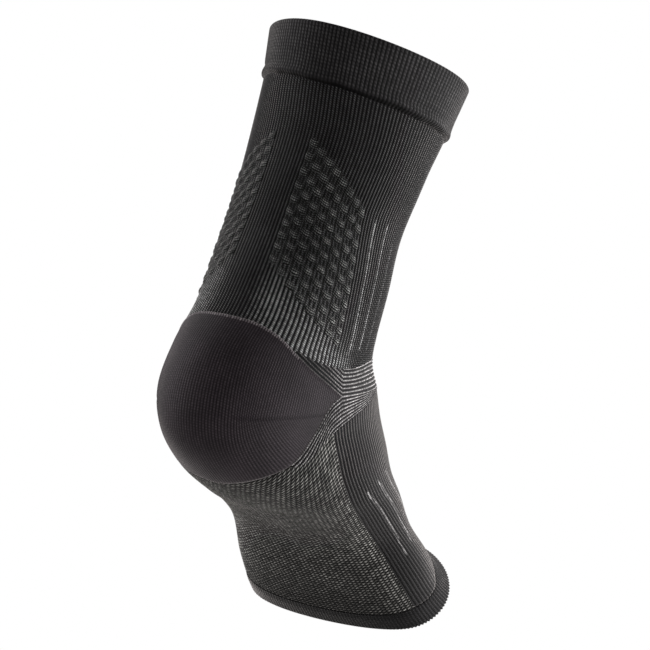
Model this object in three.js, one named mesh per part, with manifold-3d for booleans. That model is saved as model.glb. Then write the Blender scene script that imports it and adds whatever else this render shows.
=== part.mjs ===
// Knitted ankle and arch support sleeve, right foot, open at the toes.
// Millimetres. The origin is the centre of the ankle, +Z runs up the leg, +Y to the toes, +X outwards.
import * as THREE from 'three';
import Module from 'manifold-3d';

// Sizes that set the form of the worn sleeve.
const LEG_HEIGHT = 129;      // ankle centre up to the top edge of the cuff
const LEG_DEPTH = 75;        // front to back where the leg is slimmest
const ANKLE_WIDTH = 70;      // side to side across the ankle bones
const HEEL_REACH = 59.5;     // ankle centre back to the back of the heel
const HEEL_DROP = 68;        // ankle centre down to the underside of the heel
const FOOT_REACH = 131;      // ankle centre forward to the rim above the toes
const SOLE_DROP = 96.5;      // ankle centre down to the rim under the ball of the foot
const RIM_WIDTH = 94;        // side to side at the toe rim

// Walls, seams and relief of the knit.
const KNIT_WALL = 1.3;       // single compression knit of the leg, instep and sole
const HEEL_WALL = 1.5;       // smooth heel pocket
const GUSSET_WALL = 1.5;     // ribbed ankle gusset
const PAD_WALL = 1.4;        // side pads, under their nubs
const CUFF_WALL = 2.4;       // cuff, knitted double
const HEM_WALL = 2.2;        // toe hem, knitted double
const SEAM_GAP = 0.3;        // between neighbouring zones
const CUFF_PROUD = 0.9;      // how far the cuff's lower edge stands out from the leg
const HEM_PROUD = 0.7;       // how far the toe hem stands out from the sole
const GUSSET_PROUD = 0.25;   // the gusset's ribs lie a little higher than the heel
const EDGE_EASE = 9;         // length over which a wall eases back from a proud edge
const NUB_PITCH_ACROSS = 4.3;
const NUB_PITCH_ALONG = 5.5;
const NUB_RISE = 0.7;

// Fineness of the facets.
const CUFF_ROWS = 3;
const LEG_ROWS = 7;
const HEEL_ROWS = 10;
const GUSSET_ROWS = 2;
const FOOT_ROWS = 13;
const HEM_ROWS = 3;

// Each section is a closed curve in a plane through its back point and its front point. The columns are
// shares of the sizes in the group: back and front point (y, z), half width, how far the sides lean
// forward, how square the curve is, and how far back and front points are shifted outwards.
const LEG = { back: LEG_DEPTH, front: LEG_DEPTH, height: LEG_HEIGHT, width: ANKLE_WIDTH / 2 };
const HEEL = { back: HEEL_REACH, front: FOOT_REACH, height: HEEL_DROP, width: ANKLE_WIDTH / 2 };
const FOOT = { back: FOOT_REACH, front: FOOT_REACH, height: SOLE_DROP, width: RIM_WIDTH / 2 };
const SECTIONS = [
  // group, name, back y, back z, front y, front z, width, lean, square, shift back, shift front
  [LEG, 'cuff top', -0.65, 1.0, 0.683, 1.0, 1.203, 0.09, -0.02, 0, 0],
  [LEG, 'cuff edge', -0.577, 0.82, 0.614, 0.82, 1.1, 0.08, 0, 0, 0],
  [LEG, 'upper leg', -0.507, 0.655, 0.493, 0.655, 1.063, 0.06, 0.01, 0, 0],
  [LEG, 'slim leg', -0.528, 0.434, 0.445, 0.46, 0.995, 0.06, 0.01, 0, 0],
  [LEG, 'above ankle', -0.573, 0.24, 0.47, 0.28, 1.0, 0.09, 0.01, 0, 0],
  [LEG, 'ankle', -0.648, 0.04, 0.478, 0.14, 0.997, 0.14, 0.01, 0, 0],
  [HEEL, 'heel high', -0.983, -0.255, 0.317, 0.127, 1.005, 0.12, 0.01, 0, 0],
  [HEEL, 'heel back', -0.998, -0.571, 0.381, 0.021, 1.053, 0.09, 0.02, 0.01, 0],
  [HEEL, 'heel low', -0.884, -0.803, 0.437, -0.12, 1.02, 0.08, 0.02, 0.06, 0.02],
  [HEEL, 'heel under', -0.541, -0.945, 0.472, -0.267, 1.025, 0.03, 0.02, 0.13, 0.05],
  [HEEL, 'arch back', -0.111, -0.997, 0.51, -0.404, 1.038, -0.02, 0.01, 0.155, 0.08],
  [FOOT, 'arch', 0.152, -0.704, 0.568, -0.364, 0.806, -0.06, 0.03, 0.09, 0.055],
  [FOOT, 'waist', 0.36, -0.742, 0.66, -0.47, 0.853, -0.1, 0.03, 0.045, 0.06],
  [FOOT, 'ball back', 0.556, -0.868, 0.771, -0.515, 0.928, -0.15, 0.04, 0, 0.055],
  [FOOT, 'hem', 0.677, -0.95, 0.901, -0.537, 0.967, -0.22, 0.03, -0.015, 0.01],
  [FOOT, 'rim', 0.76, -1.0, 1.0, -0.528, 0.997, -0.26, 0.03, -0.01, -0.03],
].map(([group, , backY, backZ, frontY, frontZ, width, lean, square, shiftBack, shiftFront]) => [
  backY * group.back, backZ * group.height, frontY * group.front, frontZ * group.height,
  width * group.width, lean, square, shiftBack * group.width, shiftFront * group.width,
]);
const LAST_ROW = SECTIONS.length - 1;

// Borders of the knitted zones on the outer side; the inner side mirrors them. Each point is an angle
// round the section in degrees, from the back or sole (0) to the front or instep (180), and a row,
// which counts the sections from the cuff top (0) to the rim.
const CUFF_EDGE = [[0, 1.0], [60, 1.03], [120, 0.99], [180, 1.0]];
const HEEL_TOP = [[0, 5.22], [21, 5.26], [31, 5.35], [42, 5.53], [52, 5.79], [66, 6.2], [76, 6.5], [86, 6.86]];
const GUSSET_TOP = [[52, 5.735], [66, 5.94], [80, 6.07], [93, 6.08], [102, 5.99], [112, 5.87], [140, 5.8],
  [180, 5.78]];
const HEEL_BOTTOM = [[0, 9.2], [13, 9.12], [28, 8.96], [42, 8.76], [52, 8.58], [65, 8.1], [73, 7.6], [79, 7.12],
  [86, 6.86]];
const GUSSET_BOTTOM = [[52, 8.65], [60, 8.55], [67, 8.38], [74, 8.12], [80.5, 7.87], [86, 7.7], [95, 7.48],
  [106, 7.28], [120, 7.03], [150, 6.88], [180, 6.83]];
const SOLE_BORDER = [[80.5, 7.87], [79.5, 8.5], [76.5, 9.15], [72.5, 9.9], [66, 10.75], [61.5, 11.5], [61, 12.2],
  [64, 13.1], [68, 14.05]];
const HEM_SEAM = [[0, 14.2], [45, 14.13], [68, 14.05], [100, 14.05], [116, 13.8], [140, 13.6], [180, 13.5]];
const PAD_CORNERS = {
  topBack: [13, 2.12], topFront: [62, 2.93], bottomBack: [15, 4.16], bottomFront: [76.5, 5.52],
};
const FORK = 52;             // angle where the gusset's strips begin on the heel's edges
const HEEL_TIP = 84.5;       // angle where the heel pocket's point is cut off
const CROTCH = 86;           // angle where the gusset's two strips meet
const SOLE_CORNER = 80.5;    // angle of the sole panel's corner under the ankle
const HEM_CORNER = 68;       // angle where the sole panel's border meets the toe hem

// Columns of facets round half a section.
const BACK_ANGLES = [0, 8.5, 17, 26, 35, 43.5, FORK, 59, 66.5, 74, SOLE_CORNER];
const FRONT_ANGLES = [CROTCH, 95, 104, 113, 122, 132, 142, 152, 162, 171, 180];

const toRadians = THREE.MathUtils.degToRad;
const FULL = 360;

// Reads a table of rows at a fractional row with a smooth curve through all rows.
function smoothRow(table, row) {
  const last = table.length - 1;
  const lower = Math.min(Math.max(Math.floor(row), 0), last - 1);
  const t = row - lower;
  const slopeAt = (index, column) => {
    if (index === 0) return table[1][column] - table[0][column];
    if (index === last) return table[last][column] - table[last - 1][column];
    return (table[index + 1][column] - table[index - 1][column]) / 2;
  };
  return table[0].map((_, column) => {
    const [a, b] = [table[lower][column], table[lower + 1][column]];
    const [slopeA, slopeB] = [slopeAt(lower, column), slopeAt(lower + 1, column)];
    return (2 * t ** 3 - 3 * t ** 2 + 1) * a + (t ** 3 - 2 * t ** 2 + t) * slopeA
      + (3 * t ** 2 - 2 * t ** 3) * b + (t ** 3 - t ** 2) * slopeB;
  });
}

// A border's row at an angle, with slopes fitted to its uneven steps.
function borderRow(border, angle) {
  const folded = Math.min(((angle % FULL) + FULL) % FULL, FULL - (((angle % FULL) + FULL) % FULL));
  const last = border.length - 1;
  let lower = 0;
  while (lower < last - 1 && folded > border[lower + 1][0]) lower += 1;
  const chord = (i) => (border[i + 1][1] - border[i][1]) / (border[i + 1][0] - border[i][0]);
  const slopeAt = (i) => {
    if (i === 0) return border[0][0] === 0 ? 0 : chord(0);
    if (i === last) return border[last][0] === 180 ? 0 : chord(last - 1);
    return (chord(i - 1) + chord(i)) / 2;
  };
  const width = border[lower + 1][0] - border[lower][0];
  const t = (folded - border[lower][0]) / width;
  return (2 * t ** 3 - 3 * t ** 2 + 1) * border[lower][1] + (t ** 3 - 2 * t ** 2 + t) * width * slopeAt(lower)
    + (3 * t ** 2 - 2 * t ** 3) * border[lower + 1][1] + (t ** 3 - t ** 2) * width * slopeAt(lower + 1);
}

// The sleeve's outer surface: an oval in each section's plane, narrowed, squared and shifted by its row.
function surfacePoint(angle, row) {
  const [backY, backZ, frontY, frontZ, width, lean, square, shiftBack, shiftFront] = smoothRow(SECTIONS, row);
  const turn = toRadians(angle);
  const along = -Math.cos(turn) + lean * Math.sin(turn) ** 2;
  const across = width * (Math.sin(turn) + square * Math.sin(3 * turn)) / (1 - square);
  return new THREE.Vector3(
    across + shiftBack + shiftFront * (1 + along) / 2,
    (backY + frontY) / 2 + along * (frontY - backY) / 2,
    (backZ + frontZ) / 2 + along * (frontZ - backZ) / 2,
  );
}

function surfaceNormal(angle, row) {
  const step = 0.01;         // rows
  const turn = 1;            // degrees
  const round = surfacePoint(angle + turn, row).sub(surfacePoint(angle - turn, row));
  const down = surfacePoint(angle, row + step).sub(surfacePoint(angle, row - step));
  return down.cross(round).normalize();
}

function surfaceLength(from, to) {
  return surfacePoint(...from).distanceTo(surfacePoint(...to));
}

// Patches are lists of (angle, row) points with four-sided cells that turn to the left seen from outside.
function gridPatch(columns, rows, pointAt) {
  const points = [];
  for (let column = 0; column <= columns; column += 1) {
    for (let row = 0; row <= rows; row += 1) points.push(pointAt(column, row));
  }
  const cells = [];
  for (let column = 0; column < columns; column += 1) {
    for (let row = 0; row < rows; row += 1) {
      const corner = column * (rows + 1) + row;
      cells.push([corner, corner + 1, corner + rows + 2, corner + rows + 1]);
    }
  }
  return joined([{ points, cells }]);
}

// Joins patches into one, with points that lie on each other made one; a full turn closes the ring.
function joined(patches) {
  const points = [];
  const places = new Map();
  const cells = [];
  for (const patch of patches) {
    const indices = patch.points.map(([angle, row]) => {
      const turned = ((angle % FULL) + FULL) % FULL;
      const key = `${turned.toFixed(4)} ${row.toFixed(5)}`;
      if (!places.has(key)) {
        places.set(key, points.length);
        points.push([turned, row]);
      }
      return places.get(key);
    });
    for (const cell of patch.cells) cells.push(cell.map((index) => indices[index]));
  }
  return { points, cells };
}

// A band between an upper and a lower border, in straight columns at the given angles.
function bandPatch(angles, rows, upper, lower) {
  return gridPatch(angles.length - 1, rows, (column, row) => {
    const angle = angles[column];
    return [angle, THREE.MathUtils.lerp(upper(angle), lower(angle), row / rows)];
  });
}

// A patch between four borders: straight blends between opposite borders, less the corners counted twice.
function fourSidedPatch(top, bottom, start, end) {
  const columns = top.length - 1;
  const rows = start.length - 1;
  return gridPatch(columns, rows, (column, row) => {
    const [u, v] = [column / columns, row / rows];
    return [0, 1].map((k) => (1 - v) * top[column][k] + v * bottom[column][k]
      + (1 - u) * start[row][k] + u * end[row][k]
      - (1 - u) * ((1 - v) * top[0][k] + v * bottom[0][k])
      - u * ((1 - v) * top[columns][k] + v * bottom[columns][k]));
  });
}

// Closed wall on a patch: outer skin, inner skin and an edge wall round each border, drawn in from its
// neighbours. The rise tells how far the outer skin lies from the surface at a point of the patch.
function knitWall(patch, wall, rise = () => 0, drawIn = SEAM_GAP / 2) {
  const places = patch.points.map(([angle, row]) => surfacePoint(angle, row));
  const normals = patch.points.map(([angle, row]) => surfaceNormal(angle, row));
  const edges = new Map();
  for (const cell of patch.cells) {
    cell.forEach((from, k) => edges.set(`${from} ${cell[(k + 1) % 4]}`, [from, cell[(k + 1) % 4]]));
  }
  const border = [...edges.values()].filter(([from, to]) => !edges.has(`${to} ${from}`));
  const inwards = new Map();
  for (const [from, to] of border) {
    const edge = places[to].clone().sub(places[from]);
    for (const index of [from, to]) {
      const side = normals[index].clone().cross(edge).normalize();
      inwards.set(index, [...(inwards.get(index) ?? []), side]);
    }
  }
  for (const [index, [one, other]] of inwards) {
    const reach = drawIn / Math.max(1 + one.dot(other), 0.5);
    places[index].addScaledVector(one, reach).addScaledVector(other, reach);
  }
  const outer = places.map((place, i) => place.clone().addScaledVector(normals[i], rise(...patch.points[i])));
  const inner = outer.map((place, i) => place.clone().addScaledVector(normals[i], -wall));
  const count = places.length;
  const quads = patch.cells.map((cell) => cell.slice());
  for (const [a, b, c, d] of patch.cells) quads.push([a + count, d + count, c + count, b + count]);
  for (const [from, to] of border) quads.push([to, from, from + count, to + count]);
  const triangles = quads.flatMap(([a, b, c, d]) => [a, b, c, a, c, d]);
  const geometry = new THREE.BufferGeometry();
  const corners = [...outer, ...inner].flatMap((point) => point.toArray());
  geometry.setAttribute('position', new THREE.Float32BufferAttribute(corners, 3));
  geometry.setIndex(triangles);
  return geometry;
}

const wasm = await Module();
wasm.setup();

function toManifold(geometry) {
  return new wasm.Manifold(new wasm.Mesh({
    numProp: 3,
    vertProperties: Float32Array.from(geometry.getAttribute('position').array),
    triVerts: Uint32Array.from(geometry.getIndex().array),
  }));
}

function fromManifold(solid) {
  const mesh = solid.getMesh();
  const geometry = new THREE.BufferGeometry();
  geometry.setAttribute('position', new THREE.Float32BufferAttribute(mesh.vertProperties, 3));
  geometry.setIndex([...mesh.triVerts]);
  return geometry;
}

// Borders as functions of the angle.
const cuffEdge = (angle) => borderRow(CUFF_EDGE, angle);
const heelTop = (angle) => borderRow(HEEL_TOP, angle);
const gussetTop = (angle) => borderRow(GUSSET_TOP, angle);
const heelBottom = (angle) => borderRow(HEEL_BOTTOM, angle);
const gussetBottom = (angle) => borderRow(GUSSET_BOTTOM, angle);
const hemSeam = (angle) => borderRow(HEM_SEAM, angle);
const folded = (angle) => Math.min(angle, FULL - angle);
const legEnd = (angle) => (folded(angle) < FORK ? heelTop(angle) : gussetTop(angle));
const soleStart = (angle) => (folded(angle) < FORK ? heelBottom(angle) : gussetBottom(angle));
const crotchRow = HEEL_TOP.at(-1)[1];

function mirrored(halfAngles) {
  const far = halfAngles.filter((angle) => angle > 0).map((angle) => FULL - angle).reverse();
  return [...halfAngles, ...far.filter((angle) => !halfAngles.includes(angle))];
}

const ringAngles = [...mirrored([...BACK_ANGLES, ...FRONT_ANGLES]), FULL];

// Distance in millimetres along the surface from a border to a row at the same angle, for easing a rise.
function ease(angle, row, borderAt) {
  return Math.exp(-((surfaceLength([angle, row], [angle, borderAt]) / EDGE_EASE) ** 2));
}

function cuffBand() {
  const patch = bandPatch(ringAngles, CUFF_ROWS, () => 0, cuffEdge);
  return knitWall(patch, CUFF_WALL, (angle, row) => CUFF_PROUD / 2 * row / cuffEdge(angle));
}

// Outline and fill of one side pad: straight lines between its corners, mirrored for the inner side.
function padPatch(mirror) {
  const { topBack, topFront, bottomBack, bottomFront } = PAD_CORNERS;
  const width = (surfaceLength(topBack, topFront) + surfaceLength(bottomBack, bottomFront)) / 2;
  const length = (surfaceLength(topBack, bottomBack) + surfaceLength(topFront, bottomFront)) / 2;
  const columns = 2 * Math.round(width / NUB_PITCH_ACROSS);
  const rows = 2 * Math.round(length / NUB_PITCH_ALONG);
  const pointAt = (column, row) => {
    const [u, v] = [mirror ? 1 - column / columns : column / columns, row / rows];
    const [angle, at] = [0, 1].map((k) => (1 - v) * ((1 - u) * topBack[k] + u * topFront[k])
      + v * ((1 - u) * bottomBack[k] + u * bottomFront[k]));
    return [mirror ? FULL - angle : angle, at];
  };
  const nubs = new Set();
  for (let column = 1; column < columns; column += 2) {
    for (let row = 1; row < rows; row += 1) {
      if ((row + (column - 1) / 2) % 2 === 0) nubs.add(pointAt(column, row).map((v) => v.toFixed(3)).join());
    }
  }
  return { patch: gridPatch(columns, rows, pointAt), nubs };
}

function sidePad(mirror) {
  const { patch, nubs } = padPatch(mirror);
  const isNub = (angle, row) => nubs.has([angle, row].map((v) => v.toFixed(3)).join());
  return knitWall(patch, PAD_WALL, (angle, row) => (isNub(angle, row) ? NUB_RISE : 0));
}

// The leg's tube with the two windows that the side pads fill.
function legTube() {
  const patch = bandPatch(ringAngles, LEG_ROWS, cuffEdge, legEnd);
  const fall = (angle, row) => -CUFF_PROUD / 2 * ease(angle, row, cuffEdge(angle));
  let tube = toManifold(knitWall(patch, KNIT_WALL, fall));
  const through = 2;
  for (const mirror of [false, true]) {
    const cutter = knitWall(padPatch(mirror).patch, KNIT_WALL + 2 * through, () => through, -SEAM_GAP / 2);
    tube = tube.subtract(toManifold(cutter));
  }
  return fromManifold(tube);
}

function heelPocket() {
  const half = [...BACK_ANGLES, HEEL_TIP];
  const angles = [...half.slice(1).reverse().map((angle) => -angle), ...half];
  return knitWall(bandPatch(angles, HEEL_ROWS, heelTop, heelBottom), HEEL_WALL);
}

// Ribbed gusset: a band over the instep that forks at the heel's point into strips above and below it.
function ankleGusset() {
  const half = [...BACK_ANGLES.filter((angle) => angle >= FORK), HEEL_TIP, ...FRONT_ANGLES];
  const angles = mirrored(half);
  const crotch = (border) => (angle) => (folded(angle) < CROTCH ? border(angle) : crotchRow);
  const upper = bandPatch(angles, GUSSET_ROWS, gussetTop, crotch(heelTop));
  const lower = bandPatch(angles, GUSSET_ROWS, crotch(heelBottom), gussetBottom);
  return knitWall(joined([upper, lower]), GUSSET_WALL, () => GUSSET_PROUD);
}

// The sole panel's border in even steps, on the outer side or mirrored.
function soleBorder(mirror) {
  const last = SOLE_BORDER.length - 1;
  return Array.from({ length: FOOT_ROWS + 1 }, (_, step) => {
    const [angle, row] = smoothRow(SOLE_BORDER, step / FOOT_ROWS * last);
    return [mirror ? FULL - angle : angle, row];
  });
}

const onHem = (angle) => [angle, hemSeam(angle)];
const soleHalf = BACK_ANGLES.map((angle) => angle / SOLE_CORNER * HEM_CORNER);
const instepHalf = [SOLE_CORNER, ...FRONT_ANGLES]
  .map((angle) => THREE.MathUtils.mapLinear(angle, SOLE_CORNER, 180, HEM_CORNER, 180));

function instepPanel() {
  const top = mirrored([SOLE_CORNER, ...FRONT_ANGLES]).map((angle) => [angle, soleStart(angle)]);
  return knitWall(
    fourSidedPatch(top, mirrored(instepHalf).map(onHem), soleBorder(false), soleBorder(true)), KNIT_WALL);
}

function solePanel() {
  const across = (half) => [...half.slice(1).reverse().map((angle) => -angle), ...half];
  const top = across(BACK_ANGLES).map((angle) => [angle, soleStart(Math.abs(angle))]);
  const bottom = across(soleHalf).map((angle) => [angle, hemSeam(angle)]);
  const far = soleBorder(false).map(([angle, row]) => [-angle, row]);
  return knitWall(fourSidedPatch(top, bottom, far, soleBorder(false)), KNIT_WALL);
}

function toeHem() {
  const angles = [...mirrored([...soleHalf, ...instepHalf.slice(1)]), FULL];
  const patch = bandPatch(angles, HEM_ROWS, hemSeam, () => LAST_ROW);
  return knitWall(patch, HEM_WALL, () => HEM_PROUD);
}

const PARTS = [
  // name, geometry, colour, roughness
  ['cuff_band', cuffBand(), 0x343233, 0.9],
  ['leg_tube', legTube(), 0x2b2a2b, 0.92],
  ['side_pad_outer', sidePad(false), 0x3c3a3b, 0.92],
  ['side_pad_inner', sidePad(true), 0x3c3a3b, 0.92],
  ['heel_pocket', heelPocket(), 0x2d2829, 0.85],
  ['ankle_gusset', ankleGusset(), 0x6e6b6b, 0.9],
  ['instep_panel', instepPanel(), 0x2b2a2b, 0.92],
  ['sole_panel', solePanel(), 0x474645, 0.93],
  ['toe_hem', toeHem(), 0x262526, 0.9],
];

const group = new THREE.Group();
for (const [name, geometry, color, roughness] of PARTS) {
  const material = new THREE.MeshStandardMaterial({ color, roughness, metalness: 0 });
  const mesh = new THREE.Mesh(geometry, material);
  mesh.name = name;
  group.add(mesh);
}

export default group;
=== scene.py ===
"""Looks of a knitted ankle and arch support sleeve, made round its fixed frame.

Every zone of the sleeve is one closed wall of knit. Its outer skin follows the same surface as the frame's
solids, with the ribs, nubs and rows of the knit raised on it. Lengths are in millimetres until a mesh is
made.
"""

import bpy
import numpy as np
from mathutils import Matrix, Vector


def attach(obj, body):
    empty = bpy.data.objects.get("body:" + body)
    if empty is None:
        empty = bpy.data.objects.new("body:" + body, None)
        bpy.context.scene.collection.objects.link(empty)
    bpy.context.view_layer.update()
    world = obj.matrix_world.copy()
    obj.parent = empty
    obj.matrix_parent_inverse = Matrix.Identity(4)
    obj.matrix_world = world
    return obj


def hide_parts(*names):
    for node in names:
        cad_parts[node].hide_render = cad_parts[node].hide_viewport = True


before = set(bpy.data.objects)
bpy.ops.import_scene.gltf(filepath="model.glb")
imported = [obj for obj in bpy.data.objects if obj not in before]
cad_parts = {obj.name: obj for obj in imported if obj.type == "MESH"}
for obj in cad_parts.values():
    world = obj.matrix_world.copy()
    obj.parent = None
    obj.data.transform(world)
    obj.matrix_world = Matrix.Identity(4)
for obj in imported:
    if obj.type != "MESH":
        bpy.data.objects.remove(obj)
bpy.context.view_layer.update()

METRES = 0.001

# Sizes that set the form, as in the frame.
LEG_HEIGHT = 129.0
LEG_DEPTH = 75.0
ANKLE_WIDTH = 70.0
HEEL_REACH = 59.5
HEEL_DROP = 68.0
FOOT_REACH = 131.0
SOLE_DROP = 96.5
RIM_WIDTH = 94.0

KNIT_WALL = 1.3
HEEL_WALL = 1.5
GUSSET_WALL = 1.5
PAD_WALL = 1.0
CUFF_WALL = 2.4
HEM_WALL = 2.2
CUFF_PROUD = 0.9
FULLNESS = 0.4             # how far the cloth stands off the frame's surface
FRONT_FULLNESS = 0.8       # and how much more at the front
EDGE_EASE = 9.0            # length over which the leg eases in towards the cuff
TUCK = 1.2                 # how far a zone runs on under its neighbour's edge
SUNK = 0.7                 # how deep that hidden edge lies

# The knit, counted on the photograph and turned into millimetres.
LEG_WALES = 150            # ribs round the leg and the cuff
HEEL_WALES = 120           # finer ribs across the heel pocket
INSTEP_RIBS = 78
MESH_PITCH = 2.1           # distance between the mesh's columns
HEM_WALES = 150
GUSSET_WALES = 190         # beads along the gusset's light rows
COURSE = 0.88              # height of one stitch of the leg and the instep
WELT_COURSE = 1.43         # the same for the cuff and the hem
HEEL_COURSE = 1.1
PAD_COURSE = 0.95
MESH_COURSE = 1.55
UPPER_ROWS = 7             # light rows of the gusset above the heel's point
LOWER_ROWS = 7             # and below it
NUB_COLUMNS = 8
NUB_ROWS = 10

# Depth of the grooves between wales, and how far other raised knit stands out.
LEG_RIB = 0.32
CUFF_RIB = 0.14
PAD_RIB = 0.1
HEEL_RIB = 0.08
HEM_RIB = 0.34
INSTEP_RIB = 0.42          # beside the sole; over the front of the foot it is shallower
INSTEP_FRONT_RIB = 0.15
NUB_RISE = 0.8
ROW_RISE = 0.4             # the gusset's light rows
SPOT_RISE = 0.32           # the mesh's dots

# The mesh's dots are a sum of three waves: weight of the wave over the wales, and the sums where a dot is
# at 0 and at 1.
DOT_WALE = 0.45
DOT_LOW = 0.6
DOT_HIGH = 2.45

# Groups of sections: size at the back, size at the front, height and half width.
LEG = (LEG_DEPTH, LEG_DEPTH, LEG_HEIGHT, ANKLE_WIDTH / 2)
HEEL = (HEEL_REACH, FOOT_REACH, HEEL_DROP, ANKLE_WIDTH / 2)
FOOT = (FOOT_REACH, FOOT_REACH, SOLE_DROP, RIM_WIDTH / 2)
# Sections from the cuff top to the rim. Lengths are shares of the group's sizes: depth forwards and back,
# height, and half width. The shifts move a section outwards, the first one all of it, the second its front.
# group, back y, back z, front y, front z, half width, lean of the sides, squareness, shift, front shift
SECTIONS = [
    (LEG, -0.65, 1.0, 0.683, 1.0, 1.203, 0.09, -0.02, 0, 0),
    (LEG, -0.577, 0.82, 0.614, 0.82, 1.1, 0.08, 0, 0, 0),
    (LEG, -0.507, 0.655, 0.493, 0.655, 1.063, 0.06, 0.01, 0, 0),
    (LEG, -0.528, 0.434, 0.445, 0.46, 0.995, 0.06, 0.01, 0, 0),
    (LEG, -0.573, 0.24, 0.47, 0.28, 1.0, 0.09, 0.01, 0, 0),
    (LEG, -0.648, 0.04, 0.478, 0.14, 0.997, 0.14, 0.01, 0, 0),
    (HEEL, -0.983, -0.255, 0.317, 0.127, 1.005, 0.12, 0.01, 0, 0),
    (HEEL, -0.998, -0.571, 0.381, 0.021, 1.053, 0.09, 0.02, 0.01, 0),
    (HEEL, -0.884, -0.803, 0.437, -0.12, 1.02, 0.08, 0.02, 0.06, 0.02),
    (HEEL, -0.541, -0.945, 0.472, -0.267, 1.025, 0.03, 0.02, 0.13, 0.05),
    (HEEL, -0.111, -0.997, 0.51, -0.404, 1.038, -0.02, 0.01, 0.155, 0.08),
    (FOOT, 0.152, -0.704, 0.568, -0.364, 0.806, -0.06, 0.03, 0.09, 0.055),
    (FOOT, 0.36, -0.742, 0.66, -0.47, 0.853, -0.1, 0.03, 0.045, 0.06),
    (FOOT, 0.556, -0.868, 0.771, -0.515, 0.928, -0.15, 0.04, 0, 0.055),
    (FOOT, 0.677, -0.95, 0.901, -0.537, 0.967, -0.22, 0.03, -0.015, 0.01),
    (FOOT, 0.76, -1.0, 1.0, -0.528, 0.997, -0.26, 0.03, -0.01, -0.03),
]
SIZES = np.array([
    (back_y * group[0], back_z * group[2], front_y * group[1], front_z * group[2], width * group[3],
     lean, square, shift * group[3], front_shift * group[3])
    for group, back_y, back_z, front_y, front_z, width, lean, square, shift, front_shift in SECTIONS])
LAST_ROW = len(SECTIONS) - 1

# Borders of the zones: angle round the section from the back or sole (0) to the front (180), and row. The
# hem's seam lies a little further back over the front than in the frame.
CUFF_EDGE = [(0, 1.0), (60, 1.03), (120, 0.99), (180, 1.0)]
HEEL_TOP = [(0, 5.22), (21, 5.26), (31, 5.35), (42, 5.53), (52, 5.79), (66, 6.2), (76, 6.5), (86, 6.86)]
GUSSET_TOP = [(52, 5.735), (66, 5.94), (80, 6.07), (93, 6.08), (102, 5.99), (112, 5.87), (140, 5.8),
              (180, 5.78)]
HEEL_BOTTOM = [(0, 9.2), (13, 9.12), (28, 8.96), (42, 8.76), (52, 8.58), (65, 8.1), (73, 7.6), (79, 7.12),
               (86, 6.86)]
GUSSET_BOTTOM = [(52, 8.65), (60, 8.55), (67, 8.38), (74, 8.12), (80.5, 7.87), (86, 7.7), (95, 7.48),
                 (106, 7.28), (120, 7.03), (150, 6.88), (180, 6.83)]
SOLE_BORDER = [(80.5, 7.87), (79.5, 8.5), (76.5, 9.15), (72.5, 9.9), (66, 10.75), (61.5, 11.5), (61, 12.2),
               (64, 13.1), (68, 14.05)]
HEM_SEAM = [(0, 14.2), (45, 14.13), (68, 14.05), (100, 14.0), (116, 13.68), (140, 13.38), (180, 13.25)]
FORK, CROTCH = 52.0, 86.0                # angles where the gusset's branches end behind and where they join
HEEL_POINT = CROTCH + 2.4                # the heel's point runs a little under the gusset
PAD_BACK, PAD_FRONT = 12.0, 63.5         # the side pads' edges, as wales of the leg
PAD_TOP = (2.0, 2.86)                    # rows of the upper edge at the back and at the front
PAD_BOTTOM = (4.14, 5.58)
# Stripes of light yarn: number of the wale from the back, first and last row, share of light yarn.
LEG_STRIPES = ((32, 3.0, 5.66, 0.4), (33, 3.3, 5.6, 0.15), (37, 2.98, 5.5, 0.4), (42, 3.2, 5.4, 0.2))
# The same over the instep: angle at its upper and lower end, first and last row.
INSTEP_STRIPES = ((88.0, 86.0, 9.97, 12.44), (102.0, 102.8, 9.75, 12.2), (115.5, 123.0, 9.6, 11.95))
MITRE = 7.3                              # row where the heel's wales turn from the leg to the sole
SLIM_ROW = 3.0                           # rows where the wales of the zones are spread out
HEEL_ROW = 7.0
GUSSET_ROW = 6.4
HEM_ROW = 14.0
FOOT_ROWS = np.linspace(6.5, float(LAST_ROW), 60)
# Where the cuff's seam is drawn up: middle and reach in degrees, and share of a row.
DRAWN_AT, DRAWN_REACH, DRAWN_UP = 300.0, 45.0, 0.15
CROWDING = 0.005                         # of the leg's wales at the back and the front, as a share of a turn
# Forward drift of the leg's wales: degrees, first row, and rows until it is full.
DRIFT, DRIFT_START, DRIFT_ROWS = 13.5, 2.9, 2.6
# Unevenness of the cuff's lower edge: number of waves round it, height as a share of a row, and phase.
CUFF_WAVES = ((3, 0.01, 1), (11, 0.008, 0), (29, 0.004, 0))
ROW_LENGTH = 14.0                        # about the millimetres between two rows at the hem
FINE = 721                               # points of a fine walk round a section
PAINTED_CREASE_SHADE = -0.9                           # painted shade in a crease, as a share of light yarn: below 0 the yarn is darkened


def side_of(angle):
    """Angle folded to one side of the sleeve, 0 to 180."""
    turned = np.mod(angle, 360)
    return np.minimum(turned, 360 - turned)


def hermite(t, a, b, slope_a, slope_b):
    """Smooth curve from a to b as t goes from 0 to 1, leaving and arriving with the given slopes."""
    return ((2 * t ** 3 - 3 * t ** 2 + 1) * a + (t ** 3 - 2 * t ** 2 + t) * slope_a
            + (3 * t ** 2 - 2 * t ** 3) * b + (t ** 3 - t ** 2) * slope_b)


def smooth_step(low, high, x):
    """0 below low, 1 above high, and an S curve between them."""
    t = np.clip((x - low) / (high - low), 0, 1)
    return t * t * (3 - 2 * t)


def smooth_rows(table, row):
    """Columns of a table at fractional rows: cubic pieces, with half the step across a row as its slope."""
    table = np.asarray(table, float)
    slopes = np.gradient(table, axis=0)
    lower = np.clip(np.floor(row).astype(int), 0, len(table) - 2)
    t = (row - lower)[..., None]
    return hermite(t, table[lower], table[lower + 1], slopes[lower], slopes[lower + 1])


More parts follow.
